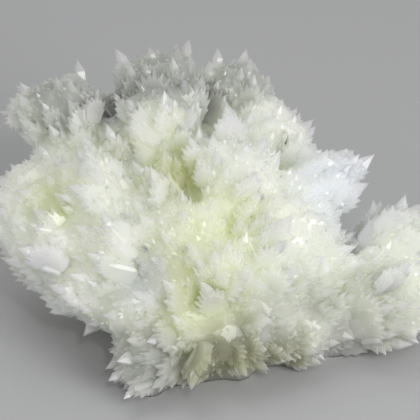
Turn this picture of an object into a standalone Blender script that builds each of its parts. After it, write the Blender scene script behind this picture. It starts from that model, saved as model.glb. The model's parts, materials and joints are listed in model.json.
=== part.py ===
"""Aragonite specimen: one cluster of spear-tipped crystals, grown together, that rests on its broken base.

Metres, +Z up, +X to the right of the show side, which faces -Y. The origin is on the flat base, under the sole.
The cluster grew on a sloping wall, so its shape is laid out on that slope: across, up the slope and out of it.
Every size and place below is in millimetres.
"""

import math
import random
from typing import NamedTuple

import bmesh
import bpy
from mathutils import Matrix, Vector, noise

MM = 0.001
COLLECTION = "aragonite_specimen"
NODE = "aragonite_cluster"
SEED = 11

# The slope that the cluster grew on rises from the base and away from the show side.
SLOPE_DEG = 58.0
SLOPE = Matrix.Rotation(math.radians(SLOPE_DEG), 4, "X")

# The crystals fan out from this place, much less out of the slope than along it, and lean that way by so much.
HEART = (-6.0, 3.0, -9.0)
FAN_FLATNESS = 0.3
FAN = 1.0

# The masses are melted into one rough skin of this many faces, and most of its faces grow into crystals.
SKIN_VOXEL = 1.6
SKIN_FACES = 2080
SKIN_DEPTH = 2.2
LUMP_SIZE = 7.0
LUMP_HEIGHT = 0.10
HOLLOW = 0.03

# The square of a face's width over its area, and how far a crystal reaches, as a share of that width.
FACE_ASPECT = 2.3
WIDEST = 7.0
REACH = 0.68
SHORTEST = 0.45
LONGEST = 1.3
DRIFT = 0.15

# One crystal in so many has a shaft under its point, which is longer and narrower than a bare point.
SHAFT_SHARE = 0.2
SHAFT_REACH = 1.45
SHOULDER_AT = 0.55
SHOULDER_WIDTH = 0.72

# A tip on the rim grows from a face in sight of it. Every other tip stays within this much of its masses' outline.
RIM_SIGHT = 0.55
RIM_ROOM = 2.5
SHRINK = 0.85

BASE_BLOCK = 200.0
COLOUR = (0.88, 0.90, 0.83, 1.0)


class Mass(NamedTuple):
    """A rounded mass of crystals: its centre and its radii across, up and out of the slope."""

    centre: tuple
    radii: tuple


MASSES = {
    # The middle of the cluster and its underside
    "heart": Mass((-9.0, 29.0, -2.0), (25.0, 24.0, 21.0)),
    "back": Mass((-12.0, 22.0, -15.0), (30.0, 17.0, 15.0)),
    "root": Mass((-6.0, 12.0, -4.0), (32.0, 14.0, 15.0)),
    "sole": Mass((-4.0, 5.0, 3.0), (24.0, 13.0, 14.0)),
    "foot": Mass((-8.0, 2.5, 12.5), (19.0, 12.0, 12.0)),
    "foot_left": Mass((-23.0, -3.0, 20.0), (9.4, 10.4, 8.0)),
    "foot_right": Mass((11.0, 3.4, 11.0), (16.0, 8.6, 10.0)),
    "left_arm": Mass((-36.0, 38.0, -3.0), (16.0, 15.0, 14.0)),
    # The crests along the top, from left to right
    "left_stalk": Mass((-43.5, 48.0, -6.0), (11.0, 12.0, 10.0)),
    "left_crest": Mass((-45.5, 61.5, -8.0), (11.0, 9.4, 10.0)),
    "left_point": Mass((-56.5, 63.5, -8.0), (7.0, 5.0, 6.0)),
    "left_rear": Mass((-34.3, 59.5, -16.0), (5.6, 8.0, 6.0)),
    "middle_stalk": Mass((-20.0, 53.0, -4.0), (12.0, 13.0, 12.0)),
    "middle_crest": Mass((-20.0, 68.0, -9.0), (12.0, 10.0, 9.4)),
    "middle_rear": Mass((-22.5, 73.5, -14.0), (5.0, 5.0, 5.0)),
    "saddle": Mass((-8.0, 64.0, -13.0), (7.0, 11.4, 8.0)),
    "right_stalk": Mass((5.5, 53.0, -7.0), (10.6, 12.0, 11.0)),
    "right_crest": Mass((1.5, 67.5, -13.0), (8.6, 8.4, 9.0)),
    "right_shoulder": Mass((9.5, 60.0, -4.0), (6.0, 7.6, 7.0)),
    "shoulder_tip": Mass((15.5, 55.0, -1.0), (5.6, 6.6, 5.6)),
    # The left side
    "left_lobe": Mass((-56.0, 35.5, 1.0), (9.5, 12.0, 11.0)),
    "left_hip": Mass((-48.0, 27.0, 6.0), (14.0, 10.8, 12.0)),
    "left_skirt": Mass((-36.0, 15.2, 11.0), (13.6, 8.8, 10.0)),
    # The right side, with the lobe that stands apart on a neck
    "plume": Mass((23.5, 44.0, 3.0), (11.6, 8.4, 8.0)),
    "plume_root": Mass((15.5, 34.0, 3.0), (11.0, 14.0, 12.0)),
    "right_flank": Mass((15.0, 22.5, 9.0), (13.4, 13.0, 11.0)),
    "neck": Mass((30.5, 7.5, 4.0), (12.0, 9.6, 9.0)),
    "far_lobe": Mass((41.5, 14.0, 5.0), (12.6, 14.6, 11.0)),
    "far_crest": Mass((45.0, 27.5, 1.0), (9.6, 9.6, 8.6)),
    # Fans on the show side, which overlap like leaves
    "fan_upper_left": Mass((-37.5, 40.5, 11.0), (9.0, 10.5, 7.5)),
    "fan_middle_left": Mass((-32.0, 26.0, 17.0), (8.5, 9.0, 8.0)),
    "fan_crest": Mass((-20.0, 58.0, 5.0), (9.5, 8.0, 6.5)),
    "fan_centre": Mass((-17.0, 29.5, 19.0), (8.5, 9.0, 7.5)),
    "fan_upper_right": Mass((1.0, 43.5, 13.0), (11.5, 11.5, 8.5)),
    "fan_lower": Mass((-4.0, 20.0, 20.0), (9.5, 8.0, 7.0)),
    "fan_right": Mass((11.5, 28.0, 17.0), (8.5, 10.0, 7.0)),
    "fan_low_left": Mass((-27.0, 9.5, 20.0), (8.0, 7.0, 7.0)),
    "fan_low_middle": Mass((-15.5, 16.0, 19.0), (9.0, 7.0, 7.0)),
    "fan_low_right": Mass((5.0, 13.5, 16.0), (10.0, 7.5, 7.5)),
    "fan_far_left": Mass((-49.0, 38.0, 6.0), (8.5, 9.0, 8.0)),
    "fan_left": Mass((-44.0, 27.0, 13.0), (8.0, 8.0, 6.5)),
}

# The tips that stand out of the outline: across, up and out.
RIM_TIPS = (
    (-59.9, 50.8, 3.0),
    (-55.9, 50.0, 0.0),
    (-52.4, 49.4, 1.0),
    (-65.4, 46.5, 1.0),
    (-66.8, 36.0, 2.0),
    (-63.4, 62.4, -8.0),
    (-62.6, 67.0, -9.0),
    (-58.6, 68.3, -7.0),
    (-52.1, 72.9, -8.0),
    (-46.7, 74.8, -8.0),
    (-42.9, 76.1, -10.0),
    (-39.7, 71.0, -8.0),
    (-54.3, 55.3, -6.0),
    (-33.8, 74.2, -8.0),
    (-32.1, 79.1, -9.0),
    (-25.7, 80.5, -14.0),
    (-19.7, 82.4, -15.0),
    (-15.7, 81.5, -9.0),
    (-12.7, 81.5, -8.0),
    (-9.5, 75.3, -8.0),
    (-4.6, 79.4, -13.0),
    (3.0, 79.1, -13.0),
    (5.7, 75.6, -12.0),
    (7.8, 73.2, -12.0),
    (10.8, 69.7, -5.0),
    (14.6, 66.4, -4.0),
    (15.9, 62.9, -3.0),
    (20.4, 59.7, 1.0),
    (26.2, 52.1, 2.0),
    (31.3, 53.7, 2.0),
    (34.8, 51.8, 3.0),
    (36.7, 50.2, 2.0),
    (34.0, 42.1, 3.0),
    (31.3, 37.3, 6.0),
    (29.7, 30.8, 8.0),
    (32.4, 27.5, 6.0),
    (37.3, 37.5, 3.0),
    (45.6, 39.2, 2.0),
    (52.0, 36.4, 1.0),
    (56.0, 30.0, 0.0),
    (57.0, 20.0, 3.0),
    (56.0, 10.0, 4.0),
    (-61.8, 22.4, 6.0),
    (-55.3, 17.8, 10.0),
    (-48.6, 8.9, 11.0),
    (-39.7, 3.2, 14.0),
    (-34.5, -5.4, 18.0),
    (-32.4, -10.0, 18.5),
)


def on_slope(place):
    """A place across, up and out of the slope, in mm, as a point in metres."""
    return (SLOPE @ Vector(place)) * MM


def add_object(name, bm, collection):
    """A new object in a collection, with a mesh taken from bm."""
    mesh = bpy.data.meshes.new(name)
    bm.to_mesh(mesh)
    bm.free()
    item = bpy.data.objects.new(name, mesh)
    collection.objects.link(item)
    return item


def make_mass(name, mass, collection):
    """A lumpy ball with the radii of a mass, less the depth of the crystals that grow on it."""
    bm = bmesh.new()
    bmesh.ops.create_icosphere(bm, subdivisions=3, radius=1.0)
    centre = Vector(mass.centre)
    for vert in bm.verts:
        spoke = Vector(r * d for r, d in zip(mass.radii, vert.co.normalized()))
        lump = 1.0 + LUMP_HEIGHT * noise.noise((centre + spoke) / LUMP_SIZE) - SKIN_DEPTH / spoke.length
        vert.co = on_slope(centre + lump * spoke)
    return add_object(name, bm, collection)


def make_base_block(collection):
    """The block under the base, whose top is the flat face that the cluster is broken off at."""
    bm = bmesh.new()
    bmesh.ops.create_cube(bm, size=BASE_BLOCK * MM, matrix=Matrix.Translation((0, 0, -BASE_BLOCK * MM / 2)))
    return add_object("base_block", bm, collection)


def aragonite():
    """The milky pale green white of the crystals."""
    material = bpy.data.materials.new("aragonite")
    material.use_nodes = True
    shader = material.node_tree.nodes["Principled BSDF"]
    shader.inputs["Base Color"].default_value = COLOUR
    shader.inputs["Roughness"].default_value = 0.25
    shader.inputs["Metallic"].default_value = 0.0
    return material


def fuse(item, operation, others, within_itself=False):
    """A Boolean of item with every object of a collection."""
    boolean = item.modifiers.new(operation.lower(), "BOOLEAN")
    boolean.operation = operation
    boolean.operand_type = "COLLECTION"
    boolean.collection = others
    boolean.solver = "EXACT"
    boolean.use_self = within_itself


def apply_modifiers(item):
    """Makes the modifiers of an object real."""
    bpy.context.view_layer.update()
    graph = bpy.context.evaluated_depsgraph_get()
    mesh = bpy.data.meshes.new_from_object(item.evaluated_get(graph))
    item.modifiers.clear()
    item.data = mesh


def melt(item):
    """Melts the joined masses into one skin of a set number of faces."""
    remesh = item.modifiers.new("skin", "REMESH")
    remesh.mode = "VOXEL"
    remesh.voxel_size = SKIN_VOXEL * MM
    apply_modifiers(item)
    keep_outer_skin(item)
    triangles = sum(len(face.vertices) - 2 for face in item.data.polygons)
    decimate = item.modifiers.new("coarse", "DECIMATE")
    decimate.ratio = SKIN_FACES / triangles
    apply_modifiers(item)


def within_outline(point):
    """True if a point in metres lies inside the outline of the masses, seen along the slope's normal."""
    place = (SLOPE.inverted() @ (point / MM)).xy
    for mass in MASSES.values():
        shares = ((p - c) / (r + RIM_ROOM) for p, c, r in zip(place, mass.centre, mass.radii))
        if sum(share * share for share in shares) < 1.0:
            return True
    return False


def fan_direction(point):
    """The way that the cluster fans out at a point in metres."""
    spoke = SLOPE.inverted() @ (point / MM) - Vector(HEART)
    spoke.z *= FAN_FLATNESS
    return SLOPE.to_3x3() @ spoke.normalized()


def hollowness(vert):
    """How far the neighbours of a vertex stand above it: over zero in a hollow, and under zero on a bulge."""
    rises = [vert.normal.dot((link.other_vert(vert).co - vert.co).normalized()) for link in vert.link_edges]
    return sum(rises) / len(rises)


def choose_tips(bm, rng):
    """The tip of the crystal that each face grows into, with whether it has a shaft. Faces in hollows have none."""
    chosen = {}
    for tip in map(on_slope, RIM_TIPS):
        seen = [
            face
            for face in bm.faces
            if face not in chosen and face.normal.dot((tip - face.calc_center_median()).normalized()) > RIM_SIGHT
        ]
        nearest = min(seen, key=lambda face: (tip - face.calc_center_median()).length)
        chosen[nearest] = (tip, True)
    for face in bm.faces:
        if face in chosen or sum(map(hollowness, face.verts)) / 3 > HOLLOW:
            continue
        has_shaft = rng.random() < SHAFT_SHARE
        width = min(WIDEST * MM, math.sqrt(FACE_ASPECT * face.calc_area()))
        foot = face.calc_center_median()
        drift = Vector(rng.gauss(0, DRIFT) for _ in range(3)) + FAN * fan_direction(foot)
        reach = width * REACH * rng.uniform(SHORTEST, LONGEST) * (SHAFT_REACH if has_shaft else 1.0)
        crystal = reach * (face.normal + drift)
        while crystal.length > width * SHORTEST / 2 and not within_outline(foot + crystal):
            crystal *= SHRINK
        chosen[face] = (foot + crystal, has_shaft)
    return chosen


def grow_crystals(item, rng):
    """Grows the faces of the skin into crystals: bare points, and points on shafts."""
    bm = bmesh.new()
    bm.from_mesh(item.data)
    bm.normal_update()
    chosen = choose_tips(bm, rng)
    shafts = [face for face, (_, has_shaft) in chosen.items() if has_shaft]
    bare = [face for face, (_, has_shaft) in chosen.items() if not has_shaft]
    bare_tips = [chosen[face][0] for face in bare]
    shaft_tips = [chosen[face][0] for face in shafts]
    tops = bmesh.ops.extrude_discrete_faces(bm, faces=shafts)["faces"]
    for face, tip in zip(tops, shaft_tips):
        foot = face.calc_center_median()
        shoulder = foot.lerp(tip, SHOULDER_AT)
        for vert in face.verts:
            vert.co = shoulder + SHOULDER_WIDTH * (vert.co - foot)
    points = bmesh.ops.poke(bm, faces=bare + tops)["verts"]
    for vert, tip in zip(points, bare_tips + shaft_tips):
        vert.co = tip
    bm.to_mesh(item.data)
    bm.free()


def keep_outer_skin(item):
    """Drops the small closed shells that masses and crystals shut in between them."""
    bm = bmesh.new()
    bm.from_mesh(item.data)
    left = set(bm.verts)
    shells = []
    while left:
        shell, edge = set(), [left.pop()]
        while edge:
            vert = edge.pop()
            shell.add(vert)
            near = {link.other_vert(vert) for link in vert.link_edges} & left
            left -= near
            edge.extend(near)
        shells.append(shell)
    shells.sort(key=len)
    for shell in shells[:-1]:
        bmesh.ops.delete(bm, geom=list(shell), context="VERTS")
    bm.to_mesh(item.data)
    bm.free()


def hide(collection):
    """Leaves the helpers of a collection out of the render."""
    for helper in collection.objects:
        helper.hide_render = True
        helper.display_type = "WIRE"


def main():
    for item in list(bpy.data.objects):
        bpy.data.objects.remove(item)
    rng = random.Random(SEED)
    part, masses, cutters = (bpy.data.collections.new(name) for name in (COLLECTION, "masses", "cutters"))
    for collection in (part, masses, cutters):
        bpy.context.scene.collection.children.link(collection)
    cluster = make_mass(NODE, MASSES["heart"], part)
    for name, mass in MASSES.items():
        if name != "heart":
            make_mass(name, mass, masses)
    make_base_block(cutters)
    fuse(cluster, "UNION", masses)
    melt(cluster)
    grow_crystals(cluster, rng)
    cluster.data.materials.append(aragonite())
    fuse(cluster, "DIFFERENCE", cutters, within_itself=True)
    apply_modifiers(cluster)
    keep_outer_skin(cluster)
    for collection in (masses, cutters):
        hide(collection)


main()
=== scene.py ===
"""The look of an aragonite specimen: its fine crystals, its milky stone, the studio and the camera."""

import json  # noqa: E402
import logging  # noqa: E402
import math  # noqa: E402
import random  # noqa: E402
from dataclasses import dataclass  # noqa: E402
from enum import Enum  # noqa: E402

import bmesh  # noqa: E402
import bpy  # noqa: E402
import numpy as np  # noqa: E402
from mathutils import Matrix, Vector, kdtree  # noqa: E402
from mathutils.bvhtree import BVHTree  # noqa: E402

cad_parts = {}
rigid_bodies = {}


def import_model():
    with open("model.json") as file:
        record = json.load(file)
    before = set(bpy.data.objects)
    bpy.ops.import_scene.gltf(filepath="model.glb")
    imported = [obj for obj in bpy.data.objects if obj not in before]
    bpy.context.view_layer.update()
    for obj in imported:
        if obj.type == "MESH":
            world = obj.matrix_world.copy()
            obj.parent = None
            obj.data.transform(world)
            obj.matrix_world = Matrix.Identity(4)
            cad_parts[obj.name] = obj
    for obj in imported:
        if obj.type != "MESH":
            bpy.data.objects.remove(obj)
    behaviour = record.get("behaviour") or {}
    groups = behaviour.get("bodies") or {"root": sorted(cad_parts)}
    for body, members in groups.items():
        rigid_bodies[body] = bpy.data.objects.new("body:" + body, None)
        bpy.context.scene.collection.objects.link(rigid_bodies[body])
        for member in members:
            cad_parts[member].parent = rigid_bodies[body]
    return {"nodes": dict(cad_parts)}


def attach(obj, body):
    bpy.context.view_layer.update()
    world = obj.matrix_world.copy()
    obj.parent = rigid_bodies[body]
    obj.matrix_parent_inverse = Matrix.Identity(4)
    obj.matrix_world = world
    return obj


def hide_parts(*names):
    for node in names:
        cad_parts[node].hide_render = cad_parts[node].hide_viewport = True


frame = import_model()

LOG = logging.getLogger("aragonite_specimen")
MM = 0.001
SOLID = "aragonite_cluster"

# The specimen leans back on its base by this much, and the camera looks down at its show side by the same.
SLOPE_DEG = 32.0

# The cluster fans out from this place, in mm across, up and out of the show side.
FAN_CENTRE = (-6.0, 3.0, -9.0)

# It fans out of the show side only this much as strongly as along it.
FAN_OUT = 0.3

# Places on a form of length 1 that are nearer than this are the same.
SAME = 0.001

# The block that cuts the base flat is larger than any specimen.
BLOCK = 1.0


def on_slope(across: float, up: float, out: float) -> Vector:
    """A place laid out across, up and out of the show side, in mm, as a point in metres.

    Args:
        across: distance to the right of the origin.
        up: distance up the show side.
        out: distance out of the show side, towards the viewer.

    Returns:
        The point in the row frame.
    """
    tilt = math.radians(SLOPE_DEG)
    back = up * math.sin(tilt) - out * math.cos(tilt)
    high = up * math.cos(tilt) + out * math.sin(tilt)
    return Vector((across, back, high)) * MM


def fan_direction(point: Vector) -> Vector:
    """The way that the whole cluster fans out at a point: along the slope more than out of it.

    Args:
        point: a point in the row frame.

    Returns:
        The unit direction.
    """
    tilt = math.radians(SLOPE_DEG)
    up = Vector((0, math.sin(tilt), math.cos(tilt)))
    out = Vector((0, -math.cos(tilt), math.sin(tilt)))
    spoke = point - on_slope(*FAN_CENTRE)
    return (spoke.x * Vector((1, 0, 0)) + spoke.dot(up) * up + FAN_OUT * spoke.dot(out) * out).normalized()


def deselect_all() -> None:
    """Deselects every object."""
    bpy.ops.object.select_all(action="DESELECT")


def activate(item: bpy.types.Object) -> None:
    """Makes one object the only selected and active one.

    Args:
        item: the object.
    """
    deselect_all()
    item.select_set(True)
    bpy.context.view_layer.objects.active = item


def discard(item: bpy.types.Object) -> None:
    """Removes an object and its mesh.

    Args:
        item: the object.
    """
    mesh = item.data
    bpy.data.objects.remove(item)
    bpy.data.meshes.remove(mesh)


def cell_of(place: Vector, size: float) -> tuple[int, int, int]:
    """The cell of a grid that a place lies in."""
    return tuple(math.floor(part / size) for part in place)


def cells_round(cell: tuple[int, int, int]) -> list[tuple[int, int, int]]:
    """A cell and those beside it."""
    steps = (-1, 0, 1)
    return [(cell[0] + i, cell[1] + j, cell[2] + k) for i in steps for j in steps for k in steps]


class Habit(Enum):
    """The forms that a crystal grows in.

    Each gives its sides, its flatness, the width of its root and the height of its shoulder.
    """

    SPEAR = (6, 0.70, 0.88, 0.76)
    BLADE = (4, 0.50, 0.90, 0.72)
    STUB = (3, 0.85, 0.94, 0.62)


@dataclass(frozen=True)
class CrystalForm:
    """A crystal of length 1 and width 1 that stands on its root at the origin and points along +Z.

    Attributes:
        verts: its corners.
        faces: its faces, as lists of corners.
    """

    verts: np.ndarray
    faces: tuple[tuple[int, ...], ...]

    @classmethod
    def model(cls, habit: Habit) -> "CrystalForm":
        """Models a crystal from a cone that widens to its shoulder, with its top face drawn to a point.

        Args:
            habit: the form that it grows in.

        Returns:
            The crystal, to copy.
        """
        sides, flatness, root, shoulder = habit.value
        deselect_all()
        bpy.ops.mesh.primitive_cone_add(
            vertices=sides, radius1=root / 2, radius2=0.5, depth=shoulder, location=(0, 0, shoulder / 2)
        )
        item = bpy.context.object
        bpy.ops.object.mode_set(mode="EDIT")
        bpy.ops.mesh.select_mode(type="FACE")
        bpy.ops.mesh.select_all(action="DESELECT")
        bm = bmesh.from_edit_mesh(item.data)
        max(bm.faces, key=lambda face: face.calc_center_median().z).select_set(True)
        bmesh.update_edit_mesh(item.data)
        bpy.ops.mesh.extrude_region_move(TRANSFORM_OT_translate={"value": (0, 0, 1 - shoulder)})
        bpy.ops.mesh.merge(type="CENTER")
        bpy.ops.mesh.select_all(action="SELECT")
        bpy.ops.transform.resize(value=(1, flatness, 1), center_override=(0, 0, 0))
        bpy.ops.object.mode_set(mode="OBJECT")
        bpy.ops.object.transform_apply(location=True, rotation=True, scale=True)
        return cls.take(item)

    @classmethod
    def take(cls, item: bpy.types.Object) -> "CrystalForm":
        """Takes the form of a modelled object, and removes the object.

        Args:
            item: the object.

        Returns:
            Its form.
        """
        verts = np.array([vert.co[:] for vert in item.data.vertices])
        faces = tuple(tuple(face.vertices) for face in item.data.polygons)
        discard(item)
        return cls(verts, faces)


@dataclass(frozen=True)
class ToothedPlate:
    """A flat plate of crystals grown side by side: a disc with two flat faces and a rim of small teeth.

    It is modelled upright on the origin, facing +Y, and then stretched to a length of 1.

    Attributes:
        teeth: how many teeth its whole rim would hold.
        toothed: how far down its sides the teeth go, in radians from its tip.
        height: half its height without the teeth.
        width: half its width without the teeth.
        ragged: the least and greatest share of its radius that the rim keeps.
        tooth: the usual height of the teeth.
        tooth_sizes: their least and greatest share of that.
        first: how much larger they are at its tip.
        waning: how much smaller than that they would be at its root.
        forward: how much of a tooth's turn away from the tip it keeps as it leans forward.
        sway: how much a tooth leans to either side at random, in radians.
        back: how far its back stands out.
        front: how far its front stands out.
        flat: how wide its two flat faces are, against the rim.
    """

    teeth: int = 17
    toothed: float = 1.7
    height: float = 0.58
    width: float = 0.40
    ragged: tuple[float, float] = (0.93, 1.05)
    tooth: float = 0.135
    tooth_sizes: tuple[float, float] = (0.6, 1.25)
    first: float = 1.25
    waning: float = 0.5
    forward: float = 0.55
    sway: float = 0.15
    back: float = 0.13
    front: float = 0.16
    flat: float = 0.80

    def model(self, rng: random.Random) -> CrystalForm:
        """Models a plate from a disc: its rim is drawn out into teeth, its sides to smaller faces.

        Args:
            rng: the source of all that is random.

        Returns:
            The plate, to copy.
        """
        deselect_all()
        upright = (math.pi / 2, 0, 0)
        bpy.ops.mesh.primitive_circle_add(
            vertices=2 * self.teeth, radius=1, fill_type="NGON", rotation=upright
        )
        item = bpy.context.object
        bpy.ops.object.transform_apply(location=True, rotation=True, scale=True)
        bpy.ops.object.mode_set(mode="EDIT")
        bpy.ops.mesh.select_all(action="SELECT")
        bpy.ops.transform.resize(value=(self.width, 1, self.height), center_override=(0, 0, 0))
        self.draw_teeth(item, rng)
        self.draw_side(item, -self.back)
        self.draw_side(item, self.front)
        bpy.ops.mesh.select_all(action="SELECT")
        bpy.ops.mesh.normals_make_consistent(inside=False)
        bpy.ops.object.mode_set(mode="OBJECT")
        form = CrystalForm.take(item)
        low, high = form.verts[:, 2].min(), form.verts[:, 2].max()
        form.verts[:, 2] = (form.verts[:, 2] - low) / (high - low)
        return form

    def draw_teeth(self, item: bpy.types.Object, rng: random.Random) -> None:
        """Draws every other corner of the rim out into a tooth that leans forward.

        Args:
            item: the disc, in edit mode.
            rng: the source of all that is random.
        """
        bpy.ops.mesh.select_mode(type="VERT")
        bm = bmesh.from_edit_mesh(item.data)
        step = math.pi / self.teeth
        for vert in bm.verts:
            angle = math.atan2(vert.co.x / self.width, vert.co.z / self.height)
            vert.co *= rng.uniform(*self.ragged)
            if abs(angle) > self.toothed or round(angle / step) % 2:
                continue
            lean = self.forward * angle + rng.uniform(-self.sway, self.sway)
            share = self.first - self.waning * abs(angle) / math.pi
            size = self.tooth * rng.uniform(*self.tooth_sizes) * share
            vert.co += size * Vector((math.sin(lean), 0, math.cos(lean)))
        bmesh.update_edit_mesh(item.data)

    def draw_side(self, item: bpy.types.Object, far: float) -> None:
        """Draws one side of the disc out to a smaller flat face.

        Args:
            item: the disc, in edit mode.
            far: how far the face stands out, below 0 for the back.
        """
        bpy.ops.mesh.select_mode(type="FACE")
        bpy.ops.mesh.select_all(action="DESELECT")
        bm = bmesh.from_edit_mesh(item.data)
        level = [face for face in bm.faces if abs(face.calc_center_median().y) < SAME]
        max(level, key=lambda face: len(face.verts)).select_set(True)
        bmesh.update_edit_mesh(item.data)
        bpy.ops.mesh.extrude_region_move(TRANSFORM_OT_translate={"value": (0, far, 0)})
        bpy.ops.transform.resize(value=(self.flat, 1, self.flat), center_override=(0, 0, 0))


@dataclass
class Crystal:
    """One crystal to grow: its root, its tip, its width, the way that its flat side faces, and its form."""

    root: Vector
    tip: Vector
    width: float
    facing: Vector
    form: CrystalForm

    def matrix(self) -> Matrix:
        """Works out how to put a crystal form in this one's place.

        Returns:
            The matrix that does so.
        """
        axis = (self.tip - self.root).normalized()
        side = self.facing.cross(axis).normalized()
        turn = Matrix((side, axis.cross(side), axis)).transposed().to_4x4()
        size = Matrix.Diagonal((self.width, self.width, (self.tip - self.root).length, 1.0))
        return Matrix.Translation(self.root) @ turn @ size

    def middle(self) -> Vector:
        """The middle of the crystal."""
        return (self.root + self.tip) / 2

    def reach(self) -> float:
        """The radius of a ball that holds the crystal."""
        return math.hypot((self.tip - self.root).length, self.width) / 2


@dataclass
class Leaf:
    """A toothed plate, with a larger crystal that stands out of its tip and smaller ones on its front.

    Attributes:
        forms: the forms of the single crystals.
        plates: the forms of the plates.
        length: how long the plate is.
        width: how wide it usually is.
        width_shares: the least and greatest share of that.
        shoot: how far the larger crystal stands out of it.
        shoot_widths: the least and greatest width of the larger crystal.
        shoot_slimness: its length, in widths.
        shoot_sway: how much it leans to either side.
        fronts: how many crystals lie on its front.
        front_widths: their least and greatest width.
        front_slimness: their length, in widths.
        front_across: how far to either side they end.
        front_down: the least and greatest distance that they end below the tip.
        front_out: the least and greatest distance that they end in front of it.
        front_sway: how much they lean to either side.
        front_rise: how much they lean out.
    """

    forms: dict[Habit, CrystalForm]
    plates: list[CrystalForm]
    length: float = 11.0 * MM
    width: float = 8.2 * MM
    width_shares: tuple[float, float] = (0.85, 1.15)
    shoot: float = 1.8 * MM
    shoot_widths: tuple[float, float] = (1.9 * MM, 3.0 * MM)
    shoot_slimness: float = 4.0
    shoot_sway: float = 0.12
    fronts: int = 1
    front_widths: tuple[float, float] = (1.2 * MM, 2.2 * MM)
    front_slimness: float = 3.5
    front_across: float = 2.2 * MM
    front_down: tuple[float, float] = (2.5 * MM, 6.0 * MM)
    front_out: tuple[float, float] = (1.0 * MM, 1.6 * MM)
    front_sway: float = 0.3
    front_rise: float = 0.05

    def grow(
        self, tip: Vector, axis: Vector, facing: Vector, scale: float, rng: random.Random
    ) -> list[Crystal]:
        """Grows the leaf.

        Args:
            tip: where it ends.
            axis: the direction that it points in.
            facing: the way that its flat side faces.
            scale: its size, against the usual one.
            rng: the source of all that is random.

        Returns:
            The crystals.
        """
        side = facing.cross(axis).normalized()
        out = axis.cross(side)
        top = tip - scale * self.shoot * axis
        width = self.width * scale * rng.uniform(*self.width_shares)
        spear = self.forms[Habit.SPEAR]
        crystals = [Crystal(top - scale * self.length * axis, top, width, out, rng.choice(self.plates))]
        sway = rng.uniform(-self.shoot_sway, self.shoot_sway)
        shoot_axis = (axis + sway * side).normalized()
        shoot_width = scale * rng.uniform(*self.shoot_widths)
        root = tip - self.shoot_slimness * shoot_width * shoot_axis
        crystals.append(Crystal(root, tip, shoot_width, out, spear))
        for _ in range(self.fronts):
            across = rng.uniform(-self.front_across, self.front_across)
            down = rng.uniform(*self.front_down)
            sway = rng.uniform(-self.front_sway, self.front_sway)
            lean = (axis + sway * side + self.front_rise * out).normalized()
            place = tip + scale * (across * side - down * axis + rng.uniform(*self.front_out) * out)
            width = scale * rng.uniform(*self.front_widths)
            root = place - self.front_slimness * width * lean
            crystals.append(Crystal(root, place, width, out, spear))
        return crystals


@dataclass
class GrowthField:
    """The way that crystals point at each place, and how far they reach, as the solid's points show it.

    Attributes:
        least_edge: the shortest that the longest edge of a point may be.
        least_height: how high above the floor a point has to be.
        sharpness: how much the edges of a point have to run the same way.
        near: how many points a place follows.
        blur: how far apart points still count alike.
    """

    least_edge: float = 2.5 * MM
    least_height: float = 1.0 * MM
    sharpness: float = 0.72
    near: int = 6
    blur: float = 3.0 * MM

    def read(self, bm: bmesh.types.BMesh) -> None:
        """Finds the points of the solid.

        Args:
            bm: the solid's mesh, merged.
        """
        self.tips: list[Vector] = []
        self.axes: list[Vector] = []
        self.sizes: list[float] = []
        for vert in bm.verts:
            spokes = [link.other_vert(vert).co - vert.co for link in vert.link_edges]
            mean = sum((spoke.normalized() for spoke in spokes), Vector()) / len(spokes)
            if mean.length < self.sharpness or max(spoke.length for spoke in spokes) < self.least_edge:
                continue
            if vert.co.z > self.least_height and all(spoke.dot(mean) > 0 for spoke in spokes):
                self.tips.append(vert.co.copy())
                self.axes.append(-mean.normalized())
                self.sizes.append(max(spoke.length for spoke in spokes))
        self.points = kdtree.KDTree(len(self.tips))
        for number, tip in enumerate(self.tips):
            self.points.insert(tip, number)
        self.points.balance()
        self.skin = BVHTree.FromBMesh(bm)

    def along(self, place: Vector) -> Vector:
        """The direction of growth at a place.

        Args:
            place: a point on the solid.

        Returns:
            The mean direction of the nearest points, the nearest counting most.
        """
        found = self.points.find_n(place, self.near)
        return sum((self.axes[k] / (far + self.blur) ** 2 for _, k, far in found), Vector()).normalized()

    def reach(self, foot: Vector, axis: Vector, limit: float) -> float:
        """How far a crystal can grow before it leaves the solid's outline.

        Args:
            foot: where it leaves the stone.
            axis: its direction.
            limit: the most that it can grow.

        Returns:
            The distance from the foot to the solid's outermost face on the way, or 0 if there is none.
        """
        hit = self.skin.ray_cast(foot + limit * axis, -axis, limit)[0]
        return (hit - foot).dot(axis) if hit else 0.0


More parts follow.
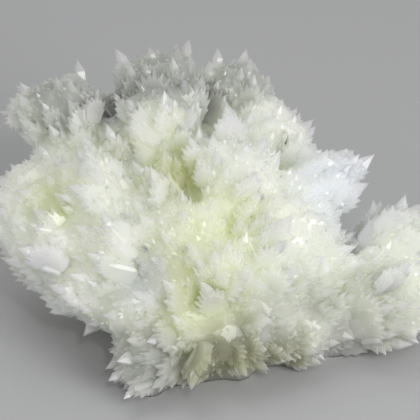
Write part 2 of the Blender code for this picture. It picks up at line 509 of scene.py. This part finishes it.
@dataclass
class CrystalCluster:
    """The whole specimen as it is seen: its stone with fine crystals grown all over it, fused in one skin.

    Attributes:
        name: the piece's name.
        base_edge: the height up to which the solid's corners belong to its base.
        base_depth: how far the base is drawn down, for the cut that makes it flat again.
        voxel: the detail of the stone under the crystals.
        melting: how many times the solid's points are smoothed away in it.
        closing: half the width of the gaps that close up in it.
        inset: how far it lies inside the solid.
        stone_faces: how many faces it keeps.
        count: how many places on it are tried for a crystal.
        spacing: the least distance between the feet of the fine crystals.
        growth: the least and the most that they stand out of the stone.
        reaches: the least and greatest share of the room up to the solid's outline that they fill.
        widths: their least and greatest width.
        slimness: their least length, in widths.
        rooted: how deep they are rooted in the stone.
        habit_odds: how often each habit comes up among them.
        leaf_spacing: the least distance between the tips of the leaves.
        small_leaves: the least and greatest size of the leaves between the solid's points.
        lead_leaves: the least and greatest size of the leaves at the solid's points.
        usual_point: how long the solid's point is where a leaf has the usual size.
        least_rise: the sine of the least angle between a crystal and the stone.
        least_showing: how far a tip has to stand clear of the stone, and twice that of the floor.
        least_height: how high above the stone a fine crystal ends at least.
        own: how much a crystal follows the direction of the solid's points.
        fan: how much it follows the way that the whole cluster fans out.
        splay: how much a fine crystal leans out from the stone.
        spread: how much the crystals lean away from each other.
        twist: how much their flat sides turn at random.
        flat: how much their flat sides turn towards the show side or the back.
        plate_teeth: the teeth of each plate that is modelled, to copy.
        single_widths: the least and greatest width of the single large crystals.
        single_slimness: their length, in widths.
        single_lead: how far they end ahead of the solid's points.
        single_fan: how much they follow the way that the cluster fans out.
        single_places: where they end, across and up the show side, in mm.
        clearance: the least gap between the crystals of one bed.
        seed: the seed of all that is random.
    """

    name: str = "aragonite_crystals"
    base_edge: float = 0.4 * MM
    base_depth: float = 4.0 * MM
    voxel: float = 1.0 * MM
    melting: int = 4
    closing: float = 2.6 * MM
    inset: float = 0.1 * MM
    stone_faces: int = 6000
    count: int = 12000
    spacing: float = 1.8 * MM
    growth: tuple[float, float] = (1.0 * MM, 6.0 * MM)
    reaches: tuple[float, float] = (0.85, 1.0)
    widths: tuple[float, float] = (1.3 * MM, 2.4 * MM)
    slimness: float = 2.6
    rooted: float = 1.2 * MM
    habit_odds: tuple[int, int, int] = (4, 4, 1)
    leaf_spacing: float = 4.4 * MM
    small_leaves: tuple[float, float] = (0.7, 1.0)
    lead_leaves: tuple[float, float] = (0.6, 1.3)
    usual_point: float = 6.0 * MM
    least_rise: float = 0.20
    least_showing: float = 0.15 * MM
    least_height: float = 0.5 * MM
    own: float = 0.7
    fan: float = 0.9
    splay: float = 0.15
    spread: float = 0.10
    twist: float = 0.20
    flat: float = 1.3
    plate_teeth: tuple[int, ...] = (13, 14, 15, 16, 17, 18)
    single_widths: tuple[float, float] = (3.2 * MM, 4.4 * MM)
    single_slimness: float = 4.0
    single_lead: float = 1.2 * MM
    single_fan: float = 0.6
    single_places: tuple[tuple[float, float], ...] = (
        (19.7, 59.7), (17.0, 61.5), (-4.9, 79.4), (3.0, 78.8), (30.8, 53.2), (36.2, 49.4), (35.0, 42.0),
        (-31.3, 78.6), (-42.9, 75.6), (-13.5, 81.3), (45.9, 38.6), (-62.6, 66.1), (37.8, 37.5),
        (-48.3, 10.0), (-38.9, 4.0), (-60.8, 22.9), (-30.0, -3.0), (-26.0, -7.0),
    )
    clearance: float = 0.02 * MM
    seed: int = 7

    def build(self) -> bpy.types.Object:
        """Grows the crystals on the stone and fuses them with it.

        Returns:
            The finished piece.
        """
        rng = random.Random(self.seed)
        self.forms = {habit: CrystalForm.model(habit) for habit in Habit}
        self.leaf = Leaf(self.forms, [ToothedPlate(teeth=teeth).model(rng) for teeth in self.plate_teeth])
        self.leaf_tips: dict[tuple[int, int, int], list[Vector]] = {}
        body = self.copy_solid()
        bm = bmesh.new()
        bm.from_mesh(body.data)
        self.field = GrowthField()
        self.field.read(bm)
        bm.free()
        self.make_stone(body)
        bm = bmesh.new()
        bm.from_mesh(body.data)
        self.stone = BVHTree.FromBMesh(bm)
        crystals = self.single(rng) + self.lead(rng) + self.sow(bm, rng)
        bm.free()
        points = len(self.field.tips)
        leaves = sum(len(cell) for cell in self.leaf_tips.values())
        LOG.info("%s: %d points, %d leaves, %d crystals", self.name, points, leaves, len(crystals))
        self.fuse(body, self.group(crystals))
        return body

    def copy_solid(self) -> bpy.types.Object:
        """Copies the solid's mesh to an object of its own, and merges its doubles.

        Returns:
            The object.
        """
        body = bpy.data.objects.new(self.name, frame["nodes"][SOLID].data.copy())
        bpy.context.scene.collection.objects.link(body)
        activate(body)
        bpy.ops.object.mode_set(mode="EDIT")
        bpy.ops.mesh.select_all(action="SELECT")
        bpy.ops.mesh.remove_doubles(threshold=1e-6)
        bpy.ops.object.mode_set(mode="OBJECT")
        return body

    def make_stone(self, body: bpy.types.Object) -> None:
        """Melts the points of the solid's copy down to the smooth stone that the crystals grow from.

        Args:
            body: the copy of the solid.
        """
        for vert in body.data.vertices:
            if vert.co.z < self.base_edge:
                vert.co.z = -self.base_depth
        steps = (
            ("REMESH", {"mode": "VOXEL", "voxel_size": self.voxel}),
            ("SMOOTH", {"factor": 0.5, "iterations": self.melting}),
            ("DISPLACE", {"strength": self.closing, "mid_level": 0.0}),
            ("REMESH", {"mode": "VOXEL", "voxel_size": self.voxel}),
            ("DISPLACE", {"strength": -self.closing - self.inset, "mid_level": 0.0}),
            ("REMESH", {"mode": "VOXEL", "voxel_size": self.voxel}),
        )
        for kind, settings in steps:
            self.shape(body, kind, settings)
        self.keep_outer_skin(body)
        self.shape(body, "DECIMATE", {"ratio": self.stone_faces / len(body.data.polygons)})

    def shape(self, body: bpy.types.Object, kind: str, settings: dict) -> None:
        """Applies one modifier.

        Args:
            body: the object to shape.
            kind: the modifier's type.
            settings: the modifier's settings.
        """
        step = body.modifiers.new(kind.lower(), kind)
        for name, value in settings.items():
            setattr(step, name, value)
        activate(body)
        bpy.ops.object.modifier_apply(modifier=step.name)

    def single(self, rng: random.Random) -> list[Crystal]:
        """The single large crystals, each at the solid's point nearest to its place.

        Args:
            rng: the source of all that is random.

        Returns:
            The crystals.
        """
        upward = on_slope(0, 1, 0).normalized()
        flat_tips = [Vector((tip.x, tip.dot(upward))) / MM for tip in self.field.tips]
        crystals = []
        for place in self.single_places:
            near = min(range(len(flat_tips)), key=lambda k: (flat_tips[k] - Vector(place)).length)
            tip = self.field.tips[near]
            axis = (self.field.axes[near] + self.single_fan * fan_direction(tip)).normalized()
            tip = tip + self.single_lead * axis
            width = rng.uniform(*self.single_widths)
            facing = self.face(self.stone.find_nearest(tip)[1], rng)
            root = tip - self.single_slimness * width * axis
            crystals.append(Crystal(root, tip, width, facing, self.forms[Habit.SPEAR]))
        return crystals

    def lead(self, rng: random.Random) -> list[Crystal]:
        """The leading crystals: a leaf of them at each free point of the solid, the larger points first.

        Args:
            rng: the source of all that is random.

        Returns:
            The crystals.
        """
        crystals = []
        field = self.field
        points = sorted(zip(field.sizes, field.tips, field.axes), key=lambda point: -point[0])
        least, greatest = self.lead_leaves
        for size, tip, own_axis in points:
            if not self.shows(tip) or not self.claim(tip, self.leaf_tips, self.leaf_spacing):
                continue
            normal = self.stone.find_nearest(tip)[1]
            axis = self.lean(self.own * own_axis + self.fan * fan_direction(tip), normal, rng)
            facing = self.face(normal, rng)
            scale = min(greatest, max(least, size / self.usual_point))
            crystals += self.leaf.grow(tip, axis, facing, scale, rng)
        return crystals

    def shows(self, tip: Vector) -> bool:
        """Whether a tip stands clear of the stone and of the floor."""
        near, normal = self.stone.find_nearest(tip)[:2]
        return tip.z > 2 * self.least_showing and (tip - near).dot(normal) > self.least_showing

    def lean(self, axis: Vector, normal: Vector, rng: random.Random) -> Vector:
        """Leans a direction of growth away from the stone, and a little at random.

        Args:
            axis: the direction of growth.
            normal: the way out of the stone.
            rng: the source of all that is random.

        Returns:
            The direction, which points out of the stone by some degrees at least.
        """
        axis = (axis.normalized() + self.wander(rng, self.spread)).normalized()
        lacking = self.least_rise - axis.dot(normal)
        return (axis + max(0.0, lacking) * normal).normalized()

    def face(self, normal: Vector, rng: random.Random) -> Vector:
        """The way that a flat side faces: out of the stone and out of the show side or the back.

        Args:
            normal: the way out of the stone.
            rng: the source of all that is random.

        Returns:
            The direction.
        """
        out = on_slope(0, 0, 1).normalized()
        return normal + math.copysign(self.flat, normal.dot(out)) * out + self.wander(rng, self.twist)

    def wander(self, rng: random.Random, amount: float) -> Vector:
        """A small random vector."""
        return Vector([rng.gauss(0, amount) for _ in range(3)])

    def sow(self, bm: bmesh.types.BMesh, rng: random.Random) -> list[Crystal]:
        """Grows small leaves and fine crystals evenly over the stone, but for its base.

        Args:
            bm: the stone's mesh.
            rng: the source of all that is random.

        Returns:
            The crystals.
        """
        faces = [face for face in bm.faces if face.calc_center_median().z > 0]
        areas = [face.calc_area() for face in faces]
        LOG.info("%s: stone of %d faces, %.0f mm2", self.name, len(bm.faces), sum(areas) / MM**2)
        feet: dict[tuple[int, int, int], list[Vector]] = {}
        crystals = []
        for face in rng.choices(faces, areas, k=self.count):
            a, b, c = (vert.co for vert in face.verts[:3])
            s, t = rng.random(), rng.random()
            if s + t > 1:
                s, t = 1 - s, 1 - t
            foot = a + s * (b - a) + t * (c - a)
            if not self.claim(foot, feet, self.spacing):
                continue
            own = self.own * self.field.along(foot)
            fan = self.fan * fan_direction(foot)
            axis = self.lean(own + fan + self.splay * face.normal, face.normal, rng)
            least = max(self.growth[0], self.least_height / axis.dot(face.normal))
            reach = max(least, self.field.reach(foot, axis, self.growth[1]) * rng.uniform(*self.reaches))
            width = rng.uniform(*self.widths)
            tip = foot + reach * axis
            if tip.z < width or not self.shows(tip):
                continue
            facing = self.face(face.normal, rng)
            if self.claim(tip, self.leaf_tips, self.leaf_spacing):
                crystals += self.leaf.grow(tip, axis, facing, rng.uniform(*self.small_leaves), rng)
                continue
            root = tip - max(self.slimness * width, reach + self.rooted) * axis
            form = self.forms[rng.choices(list(Habit), self.habit_odds)[0]]
            crystals.append(Crystal(root, tip, width, facing, form))
        return crystals

    def claim(self, foot: Vector, feet: dict[tuple[int, int, int], list[Vector]], spacing: float) -> bool:
        """Takes a place, unless another place is too near.

        Args:
            foot: the place.
            feet: the places taken so far, by cell.
            spacing: the least distance between places.

        Returns:
            Whether the place was free.
        """
        cell = cell_of(foot, spacing)
        near = (other for beside in cells_round(cell) for other in feet.get(beside, ()))
        if any((other - foot).length < spacing for other in near):
            return False
        feet.setdefault(cell, []).append(foot)
        return True

    def group(self, crystals: list[Crystal]) -> bpy.types.Collection:
        """Copies the crystal forms into as few meshes as hold only crystals that stay clear of each other.

        Args:
            crystals: the crystals to grow.

        Returns:
            A collection with one object for each mesh.
        """
        size = 2 * max(crystal.reach() for crystal in crystals)
        cells: dict[tuple[int, int, int], list[tuple[Vector, float, int]]] = {}
        groups: list[list[Crystal]] = []
        for crystal in crystals:
            middle, reach = crystal.middle(), crystal.reach() + self.clearance
            cell = cell_of(middle, size)
            near = (other for beside in cells_round(cell) for other in cells.get(beside, ()))
            taken = {number for other, far, number in near if (other - middle).length < reach + far}
            number = next(n for n in range(len(groups) + 1) if n not in taken)
            if number == len(groups):
                groups.append([])
            groups[number].append(crystal)
            cells.setdefault(cell, []).append((middle, reach, number))
        beds = bpy.data.collections.new("beds")
        bpy.context.scene.collection.children.link(beds)
        for number, members in enumerate(groups):
            beds.objects.link(self.make_bed(f"bed_{number}", members))
        LOG.info("%s: %d beds", self.name, len(groups))
        return beds

    def make_bed(self, name: str, crystals: list[Crystal]) -> bpy.types.Object:
        """Copies the crystal forms into one mesh.

        Args:
            name: the mesh's name.
            crystals: the crystals, all clear of each other.

        Returns:
            An object with that mesh.
        """
        verts: list[np.ndarray] = []
        faces: list[list[int]] = []
        start = 0
        for crystal in crystals:
            place = np.array(crystal.matrix())
            verts.append(crystal.form.verts @ place[:3, :3].T + place[:3, 3])
            faces += [[corner + start for corner in face] for face in crystal.form.faces]
            start += len(crystal.form.verts)
        mesh = bpy.data.meshes.new(name)
        mesh.from_pydata(np.concatenate(verts), [], faces)
        return bpy.data.objects.new(name, mesh)

    def fuse(self, body: bpy.types.Object, beds: bpy.types.Collection) -> None:
        """Fuses the beds of crystals with the stone, removes them, and cuts the base flat.

        Args:
            body: the stone.
            beds: the beds of crystals.
        """
        union = {"operation": "UNION", "operand_type": "COLLECTION", "collection": beds}
        self.shape(body, "BOOLEAN", {**union, "solver": "MANIFOLD"})
        for bed in list(beds.objects):
            discard(bed)
        bpy.data.collections.remove(beds)
        deselect_all()
        bpy.ops.mesh.primitive_cube_add(size=BLOCK, location=(0, 0, -BLOCK / 2))
        block = bpy.context.object
        self.shape(body, "BOOLEAN", {"operation": "DIFFERENCE", "object": block, "solver": "MANIFOLD"})
        discard(block)
        self.keep_outer_skin(body)
        body.data.materials.clear()

    def keep_outer_skin(self, body: bpy.types.Object) -> None:
        """Keeps the largest closed shell alone, in triangles.

        Args:
            body: the object to clean.
        """
        bm = bmesh.new()
        bm.from_mesh(body.data)
        bm.verts.ensure_lookup_table()
        near = [[link.other_vert(vert).index for link in vert.link_edges] for vert in bm.verts]
        left = set(range(len(near)))
        shells = []
        while left:
            shell, rim = [], [left.pop()]
            while rim:
                number = rim.pop()
                shell.append(number)
                fresh = [other for other in near[number] if other in left]
                left.difference_update(fresh)
                rim.extend(fresh)
            shells.append(sorted(shell))
        shells.sort(key=len)
        loose = [bm.verts[number] for shell in shells[:-1] for number in shell]
        bmesh.ops.delete(bm, geom=loose, context="VERTS")
        bmesh.ops.triangulate(bm, faces=bm.faces)
        bm.to_mesh(body.data)
        bm.free()
        triangles = len(body.data.polygons)
        LOG.info("%s: %d triangles, %d loose shells dropped", self.name, triangles, len(shells) - 1)

    def dress(self, body: bpy.types.Object, finish: "MilkyAragonite") -> None:
        """Gives the piece its finish and its place in the frame.

        Args:
            body: the finished piece.
            finish: what it is made of.
        """
        body.data.materials.append(finish.material())
        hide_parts(SOLID)
        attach(body, "root")
        LOG.info("%s is dressed", body.name)


class Tint(Enum):
    """The colours that the specimen takes on in places, and the painted shade of its hollows, valleys,
    crests and underside.
    """

    PALE_YELLOW = (0.86, 0.89, 0.66)
    # Olive: the yellow-green of the deeper stone, with painted shade for its pits and hollows.
    OLIVE = (0.66, 0.68, 0.38)
    # Painted shadow: dark olive for the shaded underside at the front foot and for a dark hollow.
    DARK_OLIVE = (0.33, 0.33, 0.225)
    # Painted shade: greenish grey that darkens the underside near the base and part of the core.
    DUSK = (0.50, 0.51, 0.44)
    # Painted shade: grey that darkens the upper crests, out of the light, and the underside near the base.
    GREY = (0.47, 0.48, 0.45)
    SHADE = (0.27, 0.275, 0.25)
    ICE = (0.90, 0.96, 1.0)
    LILAC = (0.80, 0.81, 0.85)


@dataclass(frozen=True)
class Patch:
    """A soft-edged region of the specimen, in another tint or in painted shade.

    Attributes:
        tint: the colour that it takes on, or the painted shade laid on it.
        centre: its middle, across, up and out of the show side, in mm.
        radius: its radius in mm.
        strength: how much of the tint shows in its middle.
    """

    tint: Tint
    centre: tuple[float, float, float]
    radius: float
    strength: float = 1.0


@dataclass(frozen=True)
class MilkyAragonite:
    """Milky, slightly green-white aragonite, which light soaks into.

    Attributes:
        pale: the colour of its palest parts.
        warm: the colour of its warmer parts.
        cool: the colour of some of its plates.
        scatter: how far red, green and blue light travel in it, in mm.
        roughness: the roughness of its smoothest and its roughest parts.
        ior: its index of refraction.
        clouds: how fine its clouds are, and how many finer layers they have.
        warmth: the same, for its warmer parts.
        plates: how fine the cells are that set its plates apart.
        cool_from: the share of the cells without any of the cool colour.
        cool_most: how much of it the coolest cells have.
        fade: where a patch begins and ends to fade, in radii, with the clouds added.
        patches: the regions of another tint, and of painted shade.
    """

    pale: tuple[float, float, float] = (0.925, 0.95, 0.865)
    warm: tuple[float, float, float] = (0.90, 0.93, 0.78)
    cool: tuple[float, float, float] = (0.78, 0.81, 0.77)
    scatter: tuple[float, float, float] = (14.0, 14.8, 11.6)
    roughness: tuple[float, float] = (0.14, 0.36)
    ior: float = 1.6
    clouds: tuple[float, float] = (60.0, 4.0)
    warmth: tuple[float, float] = (90.0, 2.0)
    plates: float = 130.0
    cool_from: float = 0.4
    cool_most: float = 0.6
    fade: tuple[float, float] = (0.8, 1.9)
    patches: tuple[Patch, ...] = (
        # Painted shade: darker towards the underside near the base, and on part of the core.
        Patch(Tint.DUSK, (8.0, -12.0, 20.0), 28.0, 0.9),
        Patch(Tint.DUSK, (38.0, -9.0, 12.0), 24.0, 0.9),
        Patch(Tint.DUSK, (-16.0, -5.0, 24.0), 26.0, 0.85),
        Patch(Tint.DUSK, (-13.0, 30.0, 21.0), 10.0, 0.5),
        Patch(Tint.PALE_YELLOW, (-7.0, 31.0, 21.0), 14.0, 0.8),
        Patch(Tint.PALE_YELLOW, (-10.0, 11.0, 21.0), 14.0, 0.9),
        Patch(Tint.PALE_YELLOW, (-20.0, 57.0, 4.0), 9.0, 0.6),
        Patch(Tint.ICE, (28.0, 43.0, 8.0), 12.0, 1.0),
        # Olive tint with painted shade in pits and hollows.
        Patch(Tint.OLIVE, (-15.3, 44.8, 12.4), 8.0, 0.9),
        Patch(Tint.OLIVE, (-49.0, 38.0, 12.0), 8.0, 0.5),
        Patch(Tint.OLIVE, (-14.5, 17.0, 22.0), 7.0, 0.7),
        Patch(Tint.LILAC, (-23.0, 16.0, 22.0), 8.0, 0.6),
        # Painted shadow on the underside at the front foot, and in a hollow.
        Patch(Tint.DARK_OLIVE, (-7.0, -8.0, 26.0), 11.0, 1.0),
        Patch(Tint.DARK_OLIVE, (3.0, -6.0, 24.0), 12.0, 1.0),
        Patch(Tint.DARK_OLIVE, (14.0, -4.0, 18.0), 9.0, 0.9),
        Patch(Tint.DARK_OLIVE, (-30.0, 51.3, 3.0), 7.0, 1.0),
        # Painted shade on the underside near the base and on the upper crests.
        Patch(Tint.GREY, (-25.0, -5.0, 26.0), 10.0, 0.8),
        Patch(Tint.GREY, (28.0, 0.0, 13.0), 9.0, 0.6),
        Patch(Tint.GREY, (-46.0, 66.0, -4.0), 14.0, 1.0),
        Patch(Tint.GREY, (-20.0, 73.0, -5.0), 17.0, 1.0),
        Patch(Tint.GREY, (3.0, 74.0, -8.0), 11.0, 0.9),
        Patch(Tint.SHADE, (-8.0, 65.0, -7.0), 6.0, 1.0),
        Patch(Tint.SHADE, (-35.0, 62.0, -9.0), 6.0, 0.9),
        Patch(Tint.LILAC, (6.0, 3.0, 19.5), 4.0, 1.0),
    )

    def material(self) -> bpy.types.Material:
        """Makes the material.

        Returns:
            The material.
        """
        material = bpy.data.materials.new("milky_aragonite")
        material.use_nodes = True
        tree = material.node_tree
        shader = tree.nodes["Principled BSDF"]
        place = tree.nodes.new("ShaderNodeTexCoord").outputs["Object"]
        cloud = self.noise(tree, place, *self.clouds)
        base = tree.nodes.new("ShaderNodeMix")
        base.data_type = "RGBA"
        base.inputs[6].default_value = (*self.pale, 1.0)
        base.inputs[7].default_value = (*self.warm, 1.0)
        tree.links.new(self.noise(tree, place, *self.warmth), base.inputs["Factor"])
        cells = tree.nodes.new("ShaderNodeTexVoronoi")
        cells.inputs["Scale"].default_value = self.plates
        tree.links.new(place, cells.inputs["Vector"])
        tone = tree.nodes.new("ShaderNodeMapRange")
        tone.inputs["From Min"].default_value = self.cool_from
        tone.inputs["To Max"].default_value = self.cool_most
        tree.links.new(cells.outputs["Color"], tone.inputs["Value"])
        cool = tree.nodes.new("ShaderNodeMix")
        cool.data_type = "RGBA"
        cool.inputs[7].default_value = (*self.cool, 1.0)
        tree.links.new(tone.outputs["Result"], cool.inputs["Factor"])
        tree.links.new(base.outputs[2], cool.inputs[6])
        colour = cool.outputs[2]
        # Soft patches of other tints and of painted shade, laid over the base colour.
        group = self.patch_group()
        for patch in self.patches:
            node = tree.nodes.new("ShaderNodeGroup")
            node.node_tree = group
            node.inputs["Centre"].default_value = on_slope(*patch.centre)
            node.inputs["Radius"].default_value = patch.radius * MM
            node.inputs["Strength"].default_value = patch.strength
            node.inputs["Tint"].default_value = (*patch.tint.value, 1.0)
            for socket, name in ((place, "Place"), (cloud, "Cloud"), (colour, "Colour")):
                tree.links.new(socket, node.inputs[name])
            colour = node.outputs["Colour"]
        tree.links.new(colour, shader.inputs["Base Color"])
        rough = tree.nodes.new("ShaderNodeMapRange")
        rough.inputs["To Min"].default_value, rough.inputs["To Max"].default_value = self.roughness
        tree.links.new(cloud, rough.inputs["Value"])
        tree.links.new(rough.outputs["Result"], shader.inputs["Roughness"])
        shader.inputs["IOR"].default_value = self.ior
        shader.inputs["Subsurface Weight"].default_value = 1.0
        shader.inputs["Subsurface Radius"].default_value = self.scatter
        shader.inputs["Subsurface Scale"].default_value = MM
        return material

    def noise(
        self, tree: bpy.types.NodeTree, place: bpy.types.NodeSocket, scale: float, detail: float
    ) -> bpy.types.NodeSocket:
        """Adds a noise over the piece.

        Args:
            tree: the material's nodes.
            place: the position over the piece.
            scale: how fine it is.
            detail: how many finer layers it has.

        Returns:
            The socket of its value.
        """
        node = tree.nodes.new("ShaderNodeTexNoise")
        node.inputs["Scale"].default_value = scale
        node.inputs["Detail"].default_value = detail
        tree.links.new(place, node.inputs["Vector"])
        return node.outputs["Fac"]

    def patch_group(self) -> bpy.types.NodeTree:
        """Makes the shared nodes that tint a colour, or paint shade on it, round a centre, fading out in
        clouds.

        Returns:
            The node group, whose output is a colour.
        """
        group = bpy.data.node_groups.new("soft_patch", "ShaderNodeTree")
        sockets = (
            ("Place", "NodeSocketVector"),
            ("Centre", "NodeSocketVector"),
            ("Radius", "NodeSocketFloat"),
            ("Strength", "NodeSocketFloat"),
            ("Cloud", "NodeSocketFloat"),
            ("Colour", "NodeSocketColor"),
            ("Tint", "NodeSocketColor"),
        )
        for name, kind in sockets:
            group.interface.new_socket(name, in_out="INPUT", socket_type=kind)
        group.interface.new_socket("Colour", in_out="OUTPUT", socket_type="NodeSocketColor")
        given = group.nodes.new("NodeGroupInput").outputs
        taken = group.nodes.new("NodeGroupOutput").inputs
        far = group.nodes.new("ShaderNodeVectorMath")
        far.operation = "DISTANCE"
        share = self.math(group, "DIVIDE", far.outputs["Value"], given["Radius"])
        ragged = self.math(group, "ADD", share, given["Cloud"])
        fade = group.nodes.new("ShaderNodeMapRange")
        fade.interpolation_type = "SMOOTHSTEP"
        fade.inputs["From Min"].default_value, fade.inputs["From Max"].default_value = self.fade
        fade.inputs["To Min"].default_value = 1.0
        fade.inputs["To Max"].default_value = 0.0
        factor = self.math(group, "MULTIPLY", fade.outputs["Result"], given["Strength"])
        mix = group.nodes.new("ShaderNodeMix")
        mix.data_type = "RGBA"
        links = (
            (given["Place"], far.inputs[0]),
            (given["Centre"], far.inputs[1]),
            (ragged, fade.inputs["Value"]),
            (factor, mix.inputs["Factor"]),
            (given["Colour"], mix.inputs[6]),
            (given["Tint"], mix.inputs[7]),
            (mix.outputs[2], taken["Colour"]),
        )
        for source, target in links:
            group.links.new(source, target)
        return group

    def math(
        self,
        tree: bpy.types.NodeTree,
        operation: str,
        first: bpy.types.NodeSocket,
        second: bpy.types.NodeSocket,
    ) -> bpy.types.NodeSocket:
        """Adds a node that works out a value from two others.

        Args:
            tree: the nodes to add it to.
            operation: what it does with the two.
            first: the first value.
            second: the second value.

        Returns:
            The socket of the result.
        """
        node = tree.nodes.new("ShaderNodeMath")
        node.operation = operation
        tree.links.new(first, node.inputs[0])
        tree.links.new(second, node.inputs[1])
        return node.outputs[0]


@dataclass(frozen=True)
class SoftBox:
    """A soft white light: its name, where it stands, its size and its power."""

    name: str
    place: tuple[float, float, float]
    size: float
    power: float


@dataclass
class Studio:
    """The floor, the soft lights and the camera.

    Attributes:
        distance: from the camera to the middle of the picture.
        picture_width: how much the picture takes in there.
        sensor_width: the width of the camera's sensor, in mm.
        nearest: how near the camera sees.
        middle: the place at the middle of the picture, across and up the show side, in mm.
        floor_size: how wide the floor is.
        floor_colour: its colour.
        floor_roughness: its roughness.
        sky_colour: the colour of the even light from all round.
        sky_strength: the strength of that light.
        aim: what the soft lights are aimed at.
        lights: the soft lights.
    """

    distance: float = 0.9
    picture_width: float = 113.4 * MM
    sensor_width: float = 36.0
    nearest: float = 0.01
    middle: tuple[float, float] = (-6.75, 35.9)
    floor_size: float = 6.0
    floor_colour: tuple[float, float, float] = (0.50, 0.50, 0.51)
    floor_roughness: float = 0.8
    sky_colour: tuple[float, float, float] = (0.85, 0.86, 0.85)
    sky_strength: float = 0.42
    aim: tuple[float, float, float] = (0.0, 0.0, 0.03)
    lights: tuple[SoftBox, ...] = (
        SoftBox("key", (0.46, -0.50, 0.34), 0.40, 2.9),
        SoftBox("fill", (-0.5, -0.45, 0.35), 0.6, 0.7),
        SoftBox("top", (-0.1, 0.25, 0.6), 0.4, 0.7),
        SoftBox("glint", (0.10, -0.62, 0.62), 0.05, 0.7),
    )

    def build(self) -> None:
        """Makes the floor, the lights, the surrounding light and the camera."""
        self.make_floor()
        for light in self.lights:
            self.make_light(light)
        self.make_world()
        self.make_camera()
        LOG.info("the studio is lit")

    def make_floor(self) -> None:
        """Makes the plain floor that the specimen rests on."""
        deselect_all()
        bpy.ops.mesh.primitive_plane_add(size=self.floor_size)
        floor = bpy.context.object
        floor.name = "floor"
        material = bpy.data.materials.new("floor")
        material.use_nodes = True
        shader = material.node_tree.nodes["Principled BSDF"]
        shader.inputs["Base Color"].default_value = (*self.floor_colour, 1.0)
        shader.inputs["Roughness"].default_value = self.floor_roughness
        floor.data.materials.append(material)

    def make_light(self, box: SoftBox) -> None:
        """Makes one soft light, aimed at the specimen.

        Args:
            box: the light to make.
        """
        light = bpy.data.lights.new(box.name, "AREA")
        light.size = box.size
        light.energy = box.power
        item = bpy.data.objects.new(box.name, light)
        item.location = box.place
        item.rotation_euler = (Vector(self.aim) - Vector(box.place)).to_track_quat("-Z", "Y").to_euler()
        bpy.context.scene.collection.objects.link(item)

    def make_world(self) -> None:
        """Makes the faint even light from all round."""
        world = bpy.data.worlds.new("studio")
        world.use_nodes = True
        background = world.node_tree.nodes["Background"]
        background.inputs["Color"].default_value = (*self.sky_colour, 1.0)
        background.inputs["Strength"].default_value = self.sky_strength
        bpy.context.scene.world = world
        bpy.context.scene.view_settings.view_transform = "Standard"

    def make_camera(self) -> None:
        """Makes the camera, which looks straight at the slope of the show side."""
        camera = bpy.data.cameras.new("camera")
        camera.sensor_width = self.sensor_width
        camera.lens = camera.sensor_width * self.distance / self.picture_width
        camera.clip_start = self.nearest
        item = bpy.data.objects.new("camera", camera)
        toward = on_slope(0, 0, 1).normalized()
        item.location = on_slope(*self.middle, 0) + self.distance * toward
        item.rotation_euler = (-toward).to_track_quat("-Z", "Y").to_euler()
        bpy.context.scene.collection.objects.link(item)
        bpy.context.scene.camera = item


def main() -> None:
    """Builds the specimen and the studio, in order."""
    logging.basicConfig(level=logging.INFO, format="%(name)s: %(message)s")
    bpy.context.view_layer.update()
    cluster = CrystalCluster()
    body = cluster.build()
    cluster.dress(body, MilkyAragonite())
    Studio().build()


if __name__ == "__main__":
    main()
